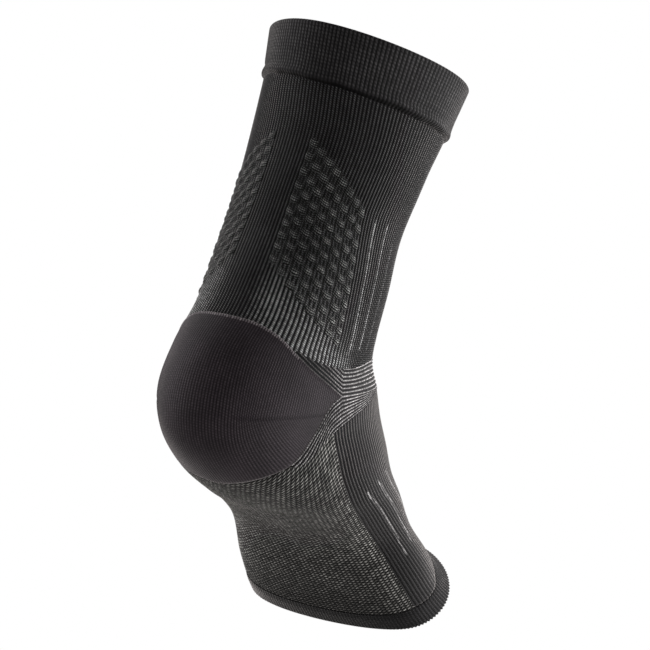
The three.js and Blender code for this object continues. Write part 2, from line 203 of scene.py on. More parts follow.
def border_row(border, angle):
    """Row of a border at an angle, folded to one side: cubic pieces with slopes averaged from the chords."""
    points = np.asarray(border, float)
    side = side_of(angle)
    steps = np.diff(points[:, 0])
    chords = np.diff(points[:, 1]) / steps
    slopes = np.concatenate([[chords[0]], (chords[:-1] + chords[1:]) / 2, [chords[-1]]])
    if points[0, 0] == 0:
        slopes[0] = 0
    if points[-1, 0] == 180:
        slopes[-1] = 0
    lower = np.clip(np.searchsorted(points[:, 0], side, side="right") - 1, 0, len(points) - 2)
    width = steps[lower]
    t = (side - points[lower, 0]) / width
    return hermite(t, points[lower, 1], points[lower + 1, 1],
                   slopes[lower] * width, slopes[lower + 1] * width)


def surface(angle, row):
    """The sleeve's outer surface: an oval in the plane through a section's back and front points.

    Along the line from back to front the point lies at minus the cosine of the angle, moved forward at the
    sides by the lean. Across, it lies at the sine times the half width, made squarer by a share of the sine
    of three times the angle, and shifted outwards by the row's shifts.
    """
    angle, row = np.broadcast_arrays(np.asarray(angle, float), np.asarray(row, float))
    back_y, back_z, front_y, front_z, width, lean, square, shift_back, shift_front = np.moveaxis(
        smooth_rows(SIZES, row), -1, 0)
    turn = np.radians(angle)
    along = -np.cos(turn) + lean * np.sin(turn) ** 2
    across = width * (np.sin(turn) + square * np.sin(3 * turn)) / (1 - square)
    return np.stack([
        across + shift_back + shift_front * (1 + along) / 2,
        (back_y + front_y) / 2 + along * (front_y - back_y) / 2,
        (back_z + front_z) / 2 + along * (front_z - back_z) / 2], axis=-1)


def outward(angle, row):
    """Unit normals of the surface: the step down the sleeve crossed with the step round it."""
    round_step = surface(angle + 0.5, row) - surface(angle - 0.5, row)
    down_step = surface(angle, row + 0.01) - surface(angle, row - 0.01)
    normal = np.cross(down_step, round_step)
    return normal / np.linalg.norm(normal, axis=-1, keepdims=True)


def raised(angle, row, rise):
    """Points at a rise over the surface. The cloth is a little fuller than the frame, most at the front
    below the cuff."""
    fuller = FULLNESS + FRONT_FULLNESS * smooth_step(70, 110, side_of(angle)) * smooth_step(1.4, 2.6, row)
    return surface(angle, row) + outward(angle, row) * (rise + fuller)[..., None]


def lengths_down(angle, row):
    """Millimetres along each column from its first row, as the running sum of its steps."""
    steps = np.linalg.norm(np.diff(surface(angle, row), axis=1), axis=-1)
    return np.concatenate([np.zeros((len(steps), 1)), np.cumsum(steps, axis=1)], axis=1)


def angles_by_length(row, start, end, shares):
    """Angles at given shares of the length of a section's curve from one angle to another."""
    fine = np.linspace(start, end, FINE)
    steps = np.linalg.norm(np.diff(surface(fine, row), axis=0), axis=-1)
    run = np.concatenate([[0], np.cumsum(steps)])
    return np.interp(shares, run / run[-1], fine)


def row_where(path, border, low=0.0, high=float(LAST_ROW)):
    """Rows where columns whose angle is path(row) cross a border, by halving the interval 30 times."""
    below, above = low, high
    for _ in range(30):
        middle = (below + above) / 2
        passed = middle > border(path(middle))
        above = np.where(passed, middle, above)
        below = np.where(passed, below, middle)
    return (below + above) / 2


def cuff_edge(angle):
    """Row of the cuff's lower seam. On the inner side it is drawn up, by a bell curve of the angle."""
    inner = np.mod(np.asarray(angle, float) - DRAWN_AT + 180, 360) - 180
    return border_row(CUFF_EDGE, angle) - DRAWN_UP * np.exp(-(inner / DRAWN_REACH) ** 2)


def leg_end(angle):
    """Lower border of the leg: the heel's upper edge at the back, and the gusset's from there on."""
    return np.where(side_of(angle) < FORK, border_row(HEEL_TOP, angle), border_row(GUSSET_TOP, angle))


def foot_start(angle):
    """Upper border of the sole and the instep: the heel's lower edge, then the gusset's."""
    return np.where(side_of(angle) < FORK, border_row(HEEL_BOTTOM, angle), border_row(GUSSET_BOTTOM, angle))


def leg_angle(wale, row):
    """Angle of a leg wale at a row. Below the slimmest part of the leg the wales at the sides drift
    forwards, by the squared sine of one and a half times their angle."""
    side = np.where(wale <= 180, wale, wale - 360)
    pull = DRIFT * np.sin(np.radians(1.5 * np.clip(np.abs(side), 0, 120))) ** 2
    return wale + np.sign(side) * pull * np.clip((row - DRIFT_START) / DRIFT_ROWS, 0, 1.15)


def heel_angle(wale, row):
    """Angle of a heel wale at a row. The wales at the sides ease backwards by up to 4 degrees above the
    mitre, and turn forwards by up to 13 degrees a row below it."""
    eased, start, rows_down, turned = 4.0, 6.1, 1.2, 13.0
    size = np.abs(wale)
    upper = -eased * smooth_step(25, 45, size) * np.clip((np.minimum(row, MITRE) - start) / rows_down, 0, 1)
    lower = turned * smooth_step(24, 56, size) * np.clip(row - MITRE, 0, None)
    return wale + np.sign(wale) * (upper + lower)


def leg_wales(columns):
    """Wale numbers of the columns of the leg and the cuff, and the angles of the wales. They lie a little
    closer together at the back and the front, by the sine of twice the way round."""
    number = np.linspace(0, LEG_WALES, columns + 1)
    way = np.linspace(0, 1, 2001)
    shares = np.interp(number, LEG_WALES * (way + CROWDING * np.sin(4 * np.pi * way)), way)
    return number[:, None], angles_by_length(SLIM_ROW, 0, 360, shares)[:, None]


def wale_columns(wales, columns, row, start=0.0, end=360.0):
    """Wale numbers and angles of columns spread evenly along a section's curve between two angles."""
    shares = np.linspace(0, 1, columns + 1)
    return np.linspace(0, wales, columns + 1)[:, None], angles_by_length(row, start, end, shares)[:, None]


def sole_side(row):
    """Angle of the sole's border at a row, held at its ends."""
    fine = smooth_rows(SOLE_BORDER, np.linspace(0, len(SOLE_BORDER) - 1, 200))
    return np.interp(row, fine[:, 1], fine[:, 0])


def wander(shape, grain, seed):
    """Smooth unevenness between about -1 and 1: random knots every few grid lines, straight between them."""
    knots = np.random.default_rng(seed).uniform(-1, 1, (shape[0] // grain + 2, shape[1] // grain + 2))
    across, down = np.arange(shape[0]) / grain, np.arange(shape[1]) / grain
    i, j = across.astype(int), down.astype(int)
    a, b = (across - i)[:, None], (down - j)[None, :]
    return ((knots[i][:, j] * (1 - b) + knots[i][:, j + 1] * b) * (1 - a)
            + (knots[i + 1][:, j] * (1 - b) + knots[i + 1][:, j + 1] * b) * a)


def ribs(count, sharpness=1.0):
    """Ridge height of ribs, 1 on a rib's crest and 0 in the groove: a raised cosine of the wale number."""
    return (0.5 + 0.5 * np.cos(2 * np.pi * count)) ** sharpness


def shell(angle, row, rise, wall, wale, course, light, ring, inner_rows=12):
    """Points of one closed wall: the outer skin with its rise, then a plainer inner skin on the way back."""
    outer = raised(angle, row, rise)
    pick = np.unique(np.linspace(0, angle.shape[1] - 1, inner_rows).round().astype(int))[::-1]
    inner = raised(angle[:, pick], row[:, pick], np.minimum(rise[:, pick], 0) * 0.3 - wall)
    join = lambda outer_values: np.concatenate([outer_values, outer_values[:, pick]], axis=1)
    return dict(place=np.concatenate([outer, inner], axis=1), wale=join(wale), course=join(course),
                light=join(light), ring=ring, pick=pick)


def make_piece(name, shells, material):
    """One object from closed walls. Each wall is a grid of columns round the sleeve and a closed profile
    across the wall; a ring also closes round the sleeve, and an open wall gets a cap at either end, made of
    short pieces between the points of its inner skin."""
    points, lights, faces, loops_uv = [], [], [], []
    start = 0
    for part in shells:
        columns, across = part["place"].shape[0] - 1, part["place"].shape[1]
        kept = columns if part["ring"] else columns + 1
        c, k = np.meshgrid(np.arange(columns), np.arange(across), indexing="ij")
        next_c, next_k = c + 1, (k + 1) % across
        quads = np.stack([(c % kept) * across + k, (c % kept) * across + next_k,
                          (next_c % kept) * across + next_k, (next_c % kept) * across + k], axis=-1)
        uv = np.stack([part["wale"], part["course"]], axis=-1)
        corners = np.stack([uv[c, k], uv[c, next_k], uv[next_c, next_k], uv[next_c, k]], axis=2)
        faces += (quads.reshape(-1, 4) + start).tolist()
        loops_uv.append(corners.reshape(-1, 2))
        if not part["ring"]:
            pick = part["pick"]
            for j in range(len(pick) - 1):
                cap = np.r_[pick[j + 1]:pick[j] + 1, pick[0] + 1 + j, pick[0] + 2 + j]
                faces += [(cap[::-1] + start).tolist(), (cap + columns * across + start).tolist()]
                loops_uv += [uv[0, cap[::-1]], uv[-1, cap]]
        points.append(part["place"][:kept].reshape(-1, 3))
        lights.append(part["light"][:kept].ravel())
        start += kept * across
    mesh = bpy.data.meshes.new(name)
    mesh.from_pydata((np.concatenate(points) * METRES).tolist(), [], faces)
    layer = mesh.uv_layers.new(name="knit")
    layer.data.foreach_set("uv", np.concatenate(loops_uv).astype(np.float32).ravel())
    attribute = mesh.attributes.new("light_yarn_and_painted_shade", "FLOAT", "POINT")
    attribute.data.foreach_set("value", np.concatenate(lights).astype(np.float32))
    mesh.polygons.foreach_set("use_smooth", np.ones(len(mesh.polygons), bool))
    mesh.materials.append(material)
    mesh.update()
    piece = bpy.data.objects.new(name, mesh)
    bpy.context.scene.collection.objects.link(piece)
    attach(piece, "root")
    return piece


def linear(code):
    """Linear colour of an sRGB hex value such as 2B2A2B."""
    parts = np.array([int(code[i:i + 2], 16) for i in (0, 2, 4)]) / 255
    return (*np.where(parts <= 0.04045, parts / 12.92, ((parts + 0.055) / 1.055) ** 2.4), 1.0)


def add(tree, kind, inputs=(), output=0, **settings):
    """Output of a new node with its settings. A kind in capitals is the operation of a Math node. Inputs
    come in order or by their socket's name or number, each as a value or as another node's output."""
    made = tree.nodes.new("ShaderNodeMath" if kind.isupper() else kind)
    if kind.isupper():
        made.operation = kind
    for key, value in settings.items():
        setattr(made, key, value)
    for key, value in inputs.items() if isinstance(inputs, dict) else enumerate(inputs):
        if isinstance(value, bpy.types.NodeSocket):
            tree.links.new(value, made.inputs[key])
        else:
            made.inputs[key].default_value = value
    return made.outputs[output]


def wave(tree, value, low=0.0):
    """Raised cosine of a whole count: 1 at whole numbers and low half way between them."""
    cosine = add(tree, "COSINE", (add(tree, "MULTIPLY", (value, 2 * np.pi)),))
    return add(tree, "MULTIPLY_ADD", (cosine, (1 - low) / 2, (1 + low) / 2))


def stitches(tree, wale, course, slant, twill, sharp, low=0.1):
    """Mask of single stitches: slanted dashes on every wale, one a course, shifted from wale to wale."""
    whole = add(tree, "ROUND", (wale,))
    side = add(tree, "SUBTRACT", (wale, whole))
    moved = add(tree, "MULTIPLY_ADD", (side, slant, course))
    moved = add(tree, "MULTIPLY_ADD", (whole, twill, moved))
    dash = add(tree, "MULTIPLY", (wave(tree, wale), wave(tree, moved, low)))
    return add(tree, "POWER", (dash, sharp)), wale, moved


def dots(tree, wale, course, sharp):
    """Mask of staggered dots: the sum of three waves, over the wales, over the courses and over both."""
    slanting = add(tree, "ADD", (wale, course))
    both = add(tree, "MULTIPLY_ADD", (wave(tree, wale), DOT_WALE, wave(tree, course)))
    total = add(tree, "ADD", (both, wave(tree, slanting)))
    spot = add(tree, "ShaderNodeMapRange", {"Value": total, "From Min": DOT_LOW, "From Max": DOT_HIGH})
    return add(tree, "POWER", (spot, sharp)), wale, course


def rows(tree, wale, course, bead, sharp):
    """Mask of light rows that run along the courses, beaded by the wales they cross."""
    line = add(tree, "POWER", (wave(tree, course), sharp))
    beads = add(tree, "MULTIPLY_ADD", (wave(tree, wale), bead, 1 - bead))
    return add(tree, "MULTIPLY", (line, beads)), wale, course


CLOUD_SCALE = 45.0         # noise over the cloth, per metre
CLOUD_DEPTH = 0.2          # how much lighter or darker it makes the yarn
FUZZ_SCALE = 2600.0        # noise of single fibres
FUZZ_DEPTH = 0.4


def knit_material(name, groove, yarn, accent, pattern, settings, relief, dull, shine, spread=1.0):
    """Knit of textured polyamide and elastane. Where the pattern's mask is high the yarn's colour takes
    over from the groove's, and by the share of light yarn the accent takes over from both. A share below 0
    darkens the yarn: painted shade in creases, under edges and on the hem's underside, and also the dark
    seam lines. Each stitch is lighter or darker by chance, the spread says how far, and the whole is
    shaded by a coarse and a fine noise. The mask also stands out as a bump, relief millimetres high."""
    material = bpy.data.materials.new(name)
    material.use_nodes = True
    tree = material.node_tree
    shader = tree.nodes["Principled BSDF"]
    uv = add(tree, "ShaderNodeUVMap", uv_map="knit")
    wale, course = (add(tree, "ShaderNodeSeparateXYZ", (uv,), output) for output in (0, 1))
    light = add(tree, "ShaderNodeAttribute", output="Fac", attribute_name="light_yarn_and_painted_shade")
    place = add(tree, "ShaderNodeTexCoord", output="Object")
    mask, *cell = pattern(tree, wale, course, *settings)
    cell = add(tree, "ShaderNodeCombineXYZ", [add(tree, "ROUND", (number,)) for number in cell])
    chance = add(tree, "ShaderNodeTexWhiteNoise", {"Vector": cell}, noise_dimensions="2D")
    cloud = add(tree, "ShaderNodeTexNoise", {"Vector": place, "Scale": CLOUD_SCALE, "Detail": 3.0})
    fuzz = add(tree, "ShaderNodeTexNoise", {"Vector": place, "Scale": FUZZ_SCALE, "Detail": 2.0})
    varied = add(tree, "MULTIPLY", (add(tree, "MULTIPLY", (mask, light)),
                                    add(tree, "MULTIPLY_ADD", (chance, spread, 1 - spread / 2))))
    crest = add(tree, "ShaderNodeMapRange", {"Value": mask, "From Min": 0.0, "From Max": 0.7})
    # Sockets 6 and 7 of a Mix node are its colours, and socket 3 of a Vector Math node is its scale.
    body = add(tree, "ShaderNodeMix", {0: crest, 6: linear(groove), 7: linear(yarn)}, 2, data_type="RGBA")
    mixed = add(tree, "ShaderNodeMix", {0: varied, 6: body, 7: linear(accent)}, 2, data_type="RGBA")
    tint, soft = (add(tree, "ShaderNodeMapRange", {"Value": noise, "From Min": low, "From Max": 1 - low,
                                                   "To Min": 1 - depth, "To Max": 1 + depth})
                  for noise, low, depth in ((cloud, 0.35, CLOUD_DEPTH), (fuzz, 0.3, FUZZ_DEPTH)))
    # A share of light yarn below 0 is painted shade, or a dark seam line: it scales the colour down.
    painted_shade_and_seams = add(tree, "MINIMUM", (add(tree, "ADD", (light, 1.0)), 1.0))
    shade = add(tree, "MULTIPLY", (add(tree, "MULTIPLY", (tint, soft)), painted_shade_and_seams))
    shaded = add(tree, "ShaderNodeVectorMath", {0: mixed, 3: shade}, operation="SCALE")
    height = add(tree, "MULTIPLY_ADD", (fuzz, 0.25, mask))
    bump = add(tree, "ShaderNodeBump", {"Height": height, "Strength": 0.8, "Distance": relief * METRES})
    tree.links.new(shaded, shader.inputs["Base Color"])
    tree.links.new(bump, shader.inputs["Normal"])
    for socket, value in (("Roughness", dull), ("Specular IOR Level", 0.03), ("Sheen Weight", shine),
                          ("Sheen Roughness", 0.25), ("Sheen Tint", linear("D8D0CE"))):
        shader.inputs[socket].default_value = value
    return material


# After each name: colours of the grooves, the yarn and the light yarn, the pattern and its settings, relief
# in millimetres, roughness, sheen and, where it isn't 1, the spread.
# Ribs of near-black yarn with black lines between them, which turn grey where the cloth turns away.
leg_knit = knit_material("polyamide_rib_knit", "020202", "181718", "A8A8A8",
                         stitches, (-0.75, -0.75, 1.5), 0.2, 0.85, 0.5)
# Flat, close and matt, with a faint grid of stitches.
cuff_knit = knit_material("polyamide_double_knit", "040404", "111011", "8C8A8A",
                          stitches, (-0.5, 0.0, 0.9, 0.3), 0.15, 0.85, 0.3)
# Black ground, with short grey stitches lying over every nub.
pad_knit = knit_material("polyamide_nub_knit", "020202", "0B0B0B", "9C9C9A",
                         rows, (0.85, 2.0), 0.2, 0.85, 0.22)
# The smoothest and warmest of the blacks, with a fine even grain.
heel_knit = knit_material("polyamide_plain_knit", "090708", "181417", "6C6668",
                          stitches, (0.3, 0.0, 0.9, 0.3), 0.08, 0.75, 0.2)
# Beaded rows of pale grey yarn with black between them, the lightest part of the sleeve.
gusset_knit = knit_material("polyamide_tuck_rows", "030303", "111011", "B4B0B0",
                            rows, (0.85, 3.2), 0.25, 0.8, 0.1)
# Deep black ribs with a strong grey bloom over the front of the foot.
instep_knit = knit_material("polyamide_deep_rib_knit", "020202", "0A090A", "8A8888",
                            stitches, (0.75, 0.75, 0.9), 0.08, 0.8, 0.72)
# Grey dots of uneven brightness on black.
mesh_knit = knit_material("polyamide_tuck_mesh", "020202", "0B0A09", "BEBCB8",
                          dots, (1.9,), 0.3, 0.85, 0.12, 1.3)


def leg_light(number, wale, row):
    """Share of light yarn on the leg: more below the pads and on the narrow stripes."""
    plain, more_below, stripe_half = 0.04, 0.33, 0.55
    side = side_of(wale)
    pad_end = PAD_BOTTOM[0] + (side - PAD_BACK) / (PAD_FRONT - PAD_BACK) * (PAD_BOTTOM[1] - PAD_BOTTOM[0])
    below = (smooth_step(-0.5, 0.6, row - pad_end) * smooth_step(8, 24, side)
             * (1 - smooth_step(70, 82, side)))
    light = plain + more_below * below
    folded = np.minimum(number, LEG_WALES - number)
    for wale_number, top, bottom, full in LEG_STRIPES:
        inside = (np.abs(folded - wale_number) < stripe_half) & (row > top) & (row < bottom)
        light = np.where(inside, full, light)
    return light


def make_leg():
    """Ribbed tube of wales that run down from the cuff, each four columns wide. It starts in a groove under
    the cuff's edge and sinks under the heel's and the gusset's."""
    hidden_above, hidden_below = 0.08, 0.06          # rows
    groove_depth, groove_end, easing, painted_shade_reach = 1.3, (1.9, 3.2), 0.4, 2.6
    number, wale = leg_wales(LEG_WALES * 4)
    top = cuff_edge(wale) - hidden_above
    bottom = row_where(lambda row: leg_angle(wale, row), leg_end) + hidden_below
    row = top + (bottom - top) * np.linspace(0, 1, 71)[None, :]
    angle = leg_angle(wale, row)
    number = np.broadcast_to(number, row.shape)
    down = lengths_down(angle, row)
    left = down[:, -1:] - down
    groove = groove_depth * (1 - smooth_step(*groove_end, down)) + easing * np.exp(-(down / EDGE_EASE) ** 2)
    rise = -groove - LEG_RIB * (1 - ribs(number, 0.8)) - SUNK * (1 - smooth_step(0, TUCK, left))
    # Painted shade: the top of the leg, in the groove under the cuff, is darkened.
    light = np.where(down < painted_shade_reach, PAINTED_CREASE_SHADE, leg_light(number, wale, row))
    wall = shell(angle, row, rise, KNIT_WALL, number, down / COURSE, light, True)
    return make_piece("leg_knit", [wall], leg_knit)


def make_pad(name, mirror):
    """Slanted pad of nubs, sunk in the leg at its edges.

    The nubs stand in columns along the wales and in rows parallel to the pad's upper edge. Each is a
    rounded bump: e to the minus cubes of the distances across and along, as shares of its half width and
    half height, with a slant. Short light stitches lie on it.
    """
    half_width, half_height, slant = 2.3, 1.5, 0.38
    sink, ground, border = 0.5, 0.36, 0.9            # depth of the edges, rise inside, width of the change
    stitch, climb, bend, uneven = 1.1, 13.6, 0.08, 0.25
    u = np.linspace(0, 1, NUB_COLUMNS * 16 + 1)[:, None]
    v = np.linspace(0, 1, NUB_ROWS * 20 + 1)[None, :]
    wale = PAD_BACK + (PAD_FRONT - PAD_BACK) * u
    top = PAD_TOP[0] + (PAD_TOP[1] - PAD_TOP[0]) * u
    bottom = PAD_BOTTOM[0] + (PAD_BOTTOM[1] - PAD_BOTTOM[0]) * u
    row = top + (bottom - top) * v
    angle = leg_angle(np.broadcast_to(wale, row.shape), row)
    down = lengths_down(angle, row)
    across = lengths_down(angle.T, row.T).T
    side = (np.mod(u * NUB_COLUMNS, 1) - 0.5) * across[-1:] / NUB_COLUMNS
    along = (np.mod(v * NUB_ROWS, 1) - 0.5) * down[:, -1:] / NUB_ROWS
    nub = np.exp(-(np.abs(side) / half_width) ** 3 - (np.abs(along + slant * side) / half_height) ** 3)
    edge = np.minimum(np.minimum(across, across[-1:] - across), np.minimum(down, down[:, -1:] - down))
    inside = smooth_step(0, border, edge)
    number = across / stitch
    # The stitches follow the pad's slanted rows, bend up a little over each nub and are uneven.
    course = (down + climb * u + bend * side ** 2) / PAD_COURSE + uneven * wander(row.shape, 8, 3)
    rise = -sink + inside * (ground + NUB_RISE * nub - PAD_RIB * (1 - ribs(number)) * (1 - nub))
    # More light yarn towards each pad's front end: a painted highlight for the sheen where the pad turns
    # away at the edge.
    light = inside * (0.02 + 0.27 * nub) * (1 + 0.3 * smooth_step(0.75, 1.0, u))
    if mirror:
        columns = (360 - angle, row, rise, number, course, light)
        angle, row, rise, number, course, light = (values[::-1] for values in columns)
    wall = shell(angle, row, rise, PAD_WALL, number, course, light, False)
    return make_piece(name, [wall], pad_knit)


def make_cuff():
    """Double band: its profile runs down the outside, round the lower edge, up the inside and over the
    rounded fold at the top. The band is a little uneven, as worn knit is, by sines of the turn."""
    length, half = 23.5, CUFF_WALL / 2
    roll_at, roll_width, dip_at, dip_width = 1.6, 1.2, 4.6, 1.6
    number, angle = leg_wales(LEG_WALES * 4)
    turn = np.radians(angle)
    edge = cuff_edge(angle)
    for waves, height, phase in CUFF_WAVES:
        edge = edge + height * np.sin(waves * turn + phase)
    arc = np.linspace(0, np.pi, 13)[None, :]
    face = np.linspace(0.01, 0.99, 44)[None, :]
    back = face[:, ::-6]
    # The profile as millimetres below the top fold and depth behind the outer face.
    down = np.concatenate([half + face * (length - half), length + half * np.sin(arc),
                           half + back * (length - half), half - half * np.sin(arc)], axis=1)
    depth = np.concatenate([0 * face, half - half * np.cos(arc), CUFF_WALL + 0 * back,
                            half + half * np.cos(arc)], axis=1)
    row = down / length * edge
    angle, depth, number = (np.broadcast_to(a, row.shape) for a in (angle, depth, number))
    skin = smooth_step(0, 0.8, half * 1.2 - depth)
    # A roll lies just over the lower edge and a shallow dip above it, and the edge itself turns in.
    above = length - down
    roll = np.exp(-((above - roll_at) / roll_width) ** 2) * (0.35 + 0.2 * np.sin(5 * turn + 2))
    dip = np.exp(-((above - dip_at) / dip_width) ** 2) * (0.2 + 0.2 * np.sin(3 * turn + 4))
    ending = smooth_step(length - 1.0, length + 0.7, down)
    bulge = CUFF_PROUD * (0.3 + 0.6 * smooth_step(0.6, 0.97, row)) + roll - dip - ending
    rise = bulge - depth - CUFF_RIB * skin * (1 - ribs(number))
    plain = 0.03
    # Painted shade: the yarn round the lower edge's fold, where the band turns under, is darkened.
    light = plain + (PAINTED_CREASE_SHADE - plain) * smooth_step(length - 0.9, length - 0.2, down) * np.ones(row.shape)
    wall = dict(place=raised(angle, row, rise), wale=number, course=down / WELT_COURSE + 0 * number,
                light=light, ring=True)
    return make_piece("cuff_knit", [wall], cuff_knit)


def make_heel():
    """Smooth pocket whose wales come down the heel and turn forwards at a mitre towards the sole. A raised
    line of light stitches runs along its upper edge at the back, and a shallow groove along the mitre."""
    line_at, line_width, line_rise = 0.55, 0.5, 0.35
    mitre_width, mitre_depth, end_depth = 0.035, 0.2, 0.35        # the width in rows
    plain, line_light, mitre_dark = 0.03, 0.9, 0.22
    number, wale = wale_columns(HEEL_WALES, HEEL_WALES * 4, HEEL_ROW, -HEEL_POINT, HEEL_POINT)
    path = lambda row: heel_angle(wale, row)
    folded = lambda angle: np.clip(side_of(angle), 0, CROTCH)
    top = row_where(path, lambda angle: border_row(HEEL_TOP, folded(angle)), 4.0, 7.3)
    bottom = row_where(path, lambda angle: border_row(HEEL_BOTTOM, folded(angle)), 6.8, 10.0)
    bottom = np.maximum(bottom, top + 0.02)
    # The grid is finer at the top, for the line.
    shares = np.concatenate([np.linspace(0, 0.04, 8)[:-1], np.linspace(0.04, 1, 76)])
    row = top + (bottom - top) * shares[None, :]
    angle = heel_angle(wale, row)
    number = np.broadcast_to(number, row.shape)
    down = lengths_down(angle, row)
    left = down[:, -1:] - down
    line = np.exp(-((down - line_at) / line_width) ** 2)
    turned = np.exp(-((row - MITRE) / mitre_width) ** 2) * smooth_step(24, 36, np.abs(wale))
    ending = end_depth * (1 - smooth_step(0, 1.0, left))
    rise = -HEEL_RIB * (1 - ribs(number)) + line_rise * line - ending - mitre_depth * turned
    light = plain + line_light * line * (side_of(angle) < FORK + 3) - mitre_dark * turned
    wall = shell(angle, row, rise, HEEL_WALL, number, down / HEEL_COURSE, light, False)
    return make_piece("heel_knit", [wall], heel_knit)


def make_gusset():
    """Band over the instep that forks round the heel's point: light rows run along it as raised ridges,
    parallel to the heel's edges. Its two walls, above and below, meet in front of the heel's point."""
    start, columns = FORK + 0.4, GUSSET_WALES * 3
    proud, sink, sharpness, bead_depth = 0.22, 0.25, 2.2, 0.7
    light_above, light_below, light_front = 0.07, 0.27, 0.42
    numbers, angle = wale_columns(GUSSET_WALES, columns, GUSSET_ROW, start, 360 - start)
    side = side_of(angle)
    share = np.linspace(0, 1, 50)[None, :]
    walls = []
    for above in (True, False):
        edge = border_row(HEEL_TOP if above else HEEL_BOTTOM, np.minimum(side, CROTCH))
        far = border_row(GUSSET_TOP if above else GUSSET_BOTTOM, side)
        row = far + (edge - far) * share if above else edge + (far - edge) * share
        away = 1 - share if above else share
        at, wale = (np.broadcast_to(a, row.shape) for a in (angle, numbers))
        # On the branches the rows keep their spacing, so fewer fit in where a branch is narrower.
        width = lengths_down(at, row)[:, -1:]
        half = columns // 2
        full_width = np.interp(CROTCH, side[:half, 0], width[:half, 0])
        count = UPPER_ROWS if above else -LOWER_ROWS
        course = away * np.where(side < CROTCH, width / full_width, 1.0) * count
        bead = 1 - bead_depth * (1 - ribs(wale))
        tip = smooth_step(0, 6, side - start)
        rise = proud * tip + ROW_RISE * ribs(course, sharpness) * bead - sink
        behind = light_above if above else light_below
        light = np.ones(row.shape) * (behind + (light_front - behind) * smooth_step(66, 96, side))
        walls.append(shell(at, row, rise, GUSSET_WALL, wale, course, light, False, 8))
    return make_piece("gusset_knit", walls, gusset_knit)


def foot_panel(shares, span, start_of, down_shares):
    """Angles and rows of a foot panel whose wales keep their share of the section between its two borders.

    span(row) gives the angles of both borders, and a wale's angle is where its share of the length between
    them ends. The columns start on the upper border and end on the hem's seam.
    """
    table = np.stack([angles_by_length(row, *span(row), shares) for row in FOOT_ROWS], axis=1)
    column = np.arange(len(shares))[:, None]

    def angle_at(row):
        position = np.clip((row - FOOT_ROWS[0]) / (FOOT_ROWS[1] - FOOT_ROWS[0]), 0, len(FOOT_ROWS) - 1.001)
        lower = np.floor(position).astype(int)
        part = position - lower
        return table[column, lower] * (1 - part) + table[column, lower + 1] * part

    columns = np.zeros((len(shares), 1))
    top = row_where(angle_at, start_of, 6.5, 10.5 + columns)
    bottom = row_where(angle_at, lambda angle: border_row(HEM_SEAM, angle), 12.0, 14.9 + columns)
    row = top + (bottom - top) * down_shares[None, :]
    return angle_at(row), row


def make_instep():
    """Deep ribs that run from the gusset to the hem, parallel to the sole's border, and get shallower over
    the front. Three narrow stripes of light yarn run along them on either side. Its end is darkened with
    painted shade where it runs under the hem, and the last row is sunk under the hem."""
    columns, last_row, sunk = INSTEP_RIBS * 6, 0.993, 0.6
    plain, more_above = 0.01, 0.03
    stripe_half, stripe_light, seam_painted_shade = 1.3, 0.42, -0.7
    angle, row = foot_panel(np.linspace(0, 1, columns + 1), lambda r: (sole_side(r), 360 - sole_side(r)),
                            foot_start, np.append(np.linspace(0, last_row, 72), 1))
    number = np.broadcast_to(np.linspace(0, INSTEP_RIBS, columns + 1)[:, None], row.shape)
    down = lengths_down(angle, row)
    left = down[:, -1:] - down
    side = side_of(angle)
    depth = INSTEP_RIB - (INSTEP_RIB - INSTEP_FRONT_RIB) * smooth_step(84, 104, side)
    rise = -depth * (1 - ribs(number, 0.7)) - sunk * (1 - smooth_step(0, 0.35, left))
    light = plain + more_above * (1 - smooth_step(8.0, 10.0, row)) * (1 - smooth_step(84, 100, side))
    for near, far, first, last in INSTEP_STRIPES:
        centre = near + (far - near) * (row - first) / (last - first)
        inside = (np.abs(side - centre) < stripe_half) & (row > first) & (row < last)
        light = np.where(inside, stripe_light, light)
    # Painted shade: the last 0.9 millimetres, where the instep runs under the hem, are darkened.
    light = np.where(left < 0.9, seam_painted_shade, light)
    wall = shell(angle, row, rise, KNIT_WALL, number, down / COURSE, light, False)
    return make_piece("instep_knit", [wall], instep_knit)


def make_sole():
    """Open mesh: staggered dots of light yarn stand out between dark dents, in columns that keep one
    distance from each other and run along the outer border. The dots are the sum of the material's three
    waves, and their light yarn is densest along both borders."""
    dent, uneven_across, uneven_down = 0.3, 0.06, 0.12
    plain, denser, border = 0.09, 0.16, 9            # light yarn, more of it at the borders, and their width
    shares = np.linspace(0, 1, 301)
    angle, row = foot_panel(shares, lambda r: (-sole_side(r), sole_side(r)), foot_start,
                            np.linspace(0, 1, 300))
    at = FOOT_ROWS[:, None]
    widths = lengths_down(sole_side(at) * np.linspace(-1, 1, 201), at + np.zeros(201))[:, -1]
    width = np.interp(row, FOOT_ROWS, widths)
    number = width * (shares[:, None] - 1) / MESH_PITCH + uneven_across * wander(row.shape, 6, 1)
    down = lengths_down(angle, row)
    left = down[:, -1:] - down
    course = -left / MESH_COURSE + uneven_down * wander(row.shape, 6, 2)
    total = DOT_WALE * ribs(number) + ribs(course) + ribs(number + course)
    spots = np.clip((total - DOT_LOW) / (DOT_HIGH - DOT_LOW), 0, 1)
    rise = -dent + SPOT_RISE * spots - 0.15 * (1 - smooth_step(0, 0.8, left))
    beside = np.exp(-width * np.minimum(shares, 1 - shares)[:, None] / border)
    # A little more light yarn near the heel, and less towards the hem: painted shade, darker towards the
    # bottom.
    light = (plain + denser * beside + 0.03 * (1 - smooth_step(8.5, 10.5, row))
             - 0.07 * smooth_step(12.4, 14.0, row))
    wall = shell(angle, row, rise, KNIT_WALL, number, course, light, False)
    return make_piece("sole_knit", [wall], mesh_knit)


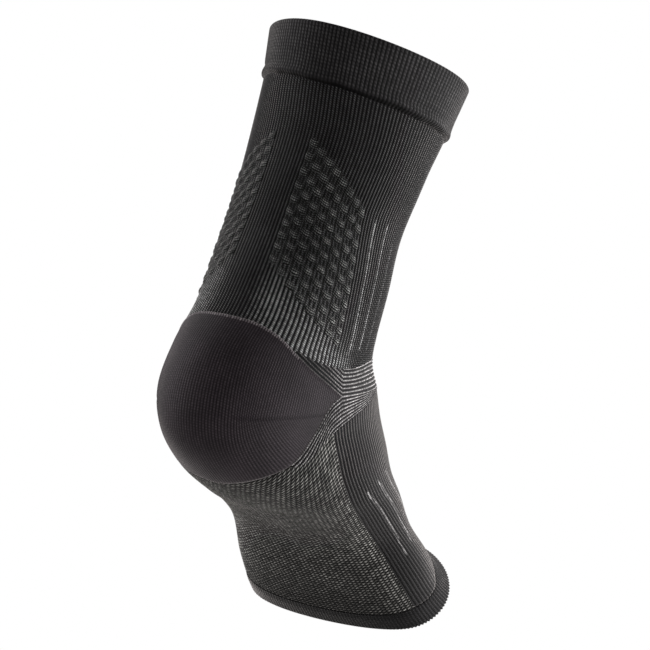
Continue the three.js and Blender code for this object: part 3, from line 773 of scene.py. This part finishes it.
def make_hem():
    """Double hem, flush with the sole and the instep. Its rim is scalloped: every wale ends in a small
    round, and the fold turns inwards. Beside the instep a dashed dark line marks the seam."""
    number, angle = wale_columns(HEM_WALES, HEM_WALES * 4, HEM_ROW)
    side = side_of(angle)
    overlap, rim, scallop, fold = 0.03, 0.06, 0.05, 0.08          # rows
    proud, proud_by, dip_at, dip_width, dip_depth = 0.25, 0.25, 0.05, 0.025, 0.5
    plain, underside_painted_shade, seam_dark = -0.08, 0.45, 0.8
    seam = border_row(HEM_SEAM, angle) - overlap
    half = HEM_WALL / 2
    arc = np.linspace(0, np.pi, 9)[None, :]
    last = LAST_ROW - rim + scallop * ribs(number) * smooth_step(30, 60, side)
    outside = seam + (last - seam) * np.linspace(0, 1, 30)[None, :-1]
    inside = last + (seam - last) * np.linspace(0, 1, 9)[None, 1:]
    row = np.concatenate([outside, last + fold * np.sin(arc), inside], axis=1)
    depth = np.concatenate([np.zeros(29), half - half * np.cos(arc[0]), np.full(8, HEM_WALL)])[None, :]
    angle, depth, number, side = (np.broadcast_to(a, row.shape) for a in (angle, depth, number, side))
    past = row - seam
    skin = smooth_step(0, 0.8, half * 1.2 - depth)
    front = smooth_step(50, 75, side)
    dip = dip_depth * np.exp(-((past - dip_at) / dip_width) ** 2) * smooth_step(100, 112, side)
    relief = HEM_RIB * front * (1 - ribs(number, 0.8)) + dip
    rise = proud * np.clip(past / proud_by, 0, 1) - depth - skin * relief
    beside = smooth_step(64, 70, angle) * (1 - smooth_step(128, 140, angle))
    dashes = np.exp(-((past - 0.03) / 0.05) ** 2) * (0.6 + 0.4 * np.sign(np.sin(np.pi * number)))
    # Painted shade darkens the hem's underside towards the sole; the dashes are a dark seam line.
    light = plain - underside_painted_shade * (1 - front) - seam_dark * dashes * beside
    wall = dict(place=raised(angle, row, rise), wale=number, course=row * ROW_LENGTH / WELT_COURSE,
                light=light, ring=True)
    return make_piece("hem_knit", [wall], cuff_knit)


PIECES = (
    (make_leg(), "leg_tube", "rib_knit"),
    (make_pad("pad_knit_outer", False), "side_pad_outer", "nub_knit"),
    (make_pad("pad_knit_inner", True), "side_pad_inner", "nub_knit"),
    (make_cuff(), "cuff_band", "welt_knit"),
    (make_heel(), "heel_pocket", "heel_knit"),
    (make_gusset(), "ankle_gusset", "gusset_knit"),
    (make_instep(), "instep_panel", "instep_knit"),
    (make_sole(), "sole_panel", "mesh_knit"),
    (make_hem(), "toe_hem", "welt_knit"),
)
for piece, node_name, slot_name in PIECES:
    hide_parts(node_name)


# Studio: a pale floor well below the sleeve, a white surround and soft lights.
FLOOR_DROP = 0.36
FLOOR_REACH = 12.0
IMAGE_WIDTH = 650
SENSOR = 36.0
# The photograph's view, from fitting the outline: degrees, metres from the aim, and pixels.
CAMERA_AZIMUTH, CAMERA_ELEVATION, CAMERA_ROLL = 30.95, -8.86, 16.06
CAMERA_DISTANCE, FOCAL_PIXELS = 2.0552, 4866.7
CAMERA_AIM = (0.0, 0.020, 0.020)
CAMERA_SHIFT = (8.86, -10.37)
# Lights: name, place, size of the square in metres, and watts.
LIGHTS = (
    ("key", (0.9, -1.2, 1.4), 1.2, 8.0),
    ("left_rim", (-1.3, -0.4, 0.4), 1.0, 64.0),
    ("right_rim", (1.15, 1.0, 0.2), 1.0, 112.0),
    ("front_top", (0.5, 1.3, 0.6), 1.0, 25.0),
)
LIGHT_AIM = (0.0, 0.02, 0.0)


def make_floor():
    """A wide square of matt paint on the level of the floor."""
    paint = bpy.data.materials.new("matt_floor_paint")
    paint.use_nodes = True
    shader = paint.node_tree.nodes["Principled BSDF"]
    shader.inputs["Base Color"].default_value = linear("E2E1DF")
    shader.inputs["Roughness"].default_value = 0.9
    corners = [(x * FLOOR_REACH, y * FLOOR_REACH, -FLOOR_DROP)
               for x, y in ((-1, -1), (1, -1), (1, 1), (-1, 1))]
    mesh = bpy.data.meshes.new("floor")
    mesh.from_pydata(corners, [], [(0, 1, 2, 3)])
    mesh.materials.append(paint)
    floor = bpy.data.objects.new("floor", mesh)
    bpy.context.scene.collection.objects.link(floor)


def soft_light(name, place, size, power):
    """A square area light that faces the sleeve."""
    data = bpy.data.lights.new(name, "AREA")
    data.size = size
    data.energy = power
    lamp = bpy.data.objects.new(name, data)
    lamp.location = place
    lamp.rotation_euler = (Vector(LIGHT_AIM) - Vector(place)).to_track_quat("-Z", "Y").to_euler()
    bpy.context.scene.collection.objects.link(lamp)


def make_camera():
    """The photograph's view: from behind and from the outer side, a little from below, rolled so that the
    leg leans. The shift in pixels centres the sleeve as the photograph does."""
    azimuth, elevation, roll = np.radians([CAMERA_AZIMUTH, CAMERA_ELEVATION, CAMERA_ROLL])
    shift = np.array(CAMERA_SHIFT) / FOCAL_PIXELS * CAMERA_DISTANCE
    back = np.array([np.sin(azimuth) * np.cos(elevation), -np.cos(azimuth) * np.cos(elevation),
                     np.sin(elevation)])
    level = np.array([np.cos(azimuth), np.sin(azimuth), 0.0])
    upright = np.cross(back, level)
    right = np.cos(roll) * level + np.sin(roll) * upright
    up = -np.sin(roll) * level + np.cos(roll) * upright
    data = bpy.data.cameras.new("camera")
    data.sensor_width = SENSOR
    data.lens = FOCAL_PIXELS / IMAGE_WIDTH * SENSOR
    data.clip_end = 20.0
    camera = bpy.data.objects.new("camera", data)
    place = np.array(CAMERA_AIM) + back * CAMERA_DISTANCE + right * shift[0] + up * shift[1]
    turn = Matrix(np.stack([right, up, back], axis=1).tolist()).to_4x4()
    camera.matrix_world = Matrix.Translation(Vector(place)) @ turn
    bpy.context.scene.collection.objects.link(camera)
    bpy.context.scene.camera = camera


def make_surround():
    """White studio surround that lights from all sides."""
    world = bpy.data.worlds.new("studio")
    world.use_nodes = True
    background = world.node_tree.nodes["Background"]
    background.inputs["Color"].default_value = (1.0, 1.0, 1.0, 1.0)
    background.inputs["Strength"].default_value = 1.0
    bpy.context.scene.world = world
    bpy.context.scene.view_settings.view_transform = "Standard"


make_floor()
make_camera()
make_surround()
for light in LIGHTS:
    soft_light(*light)
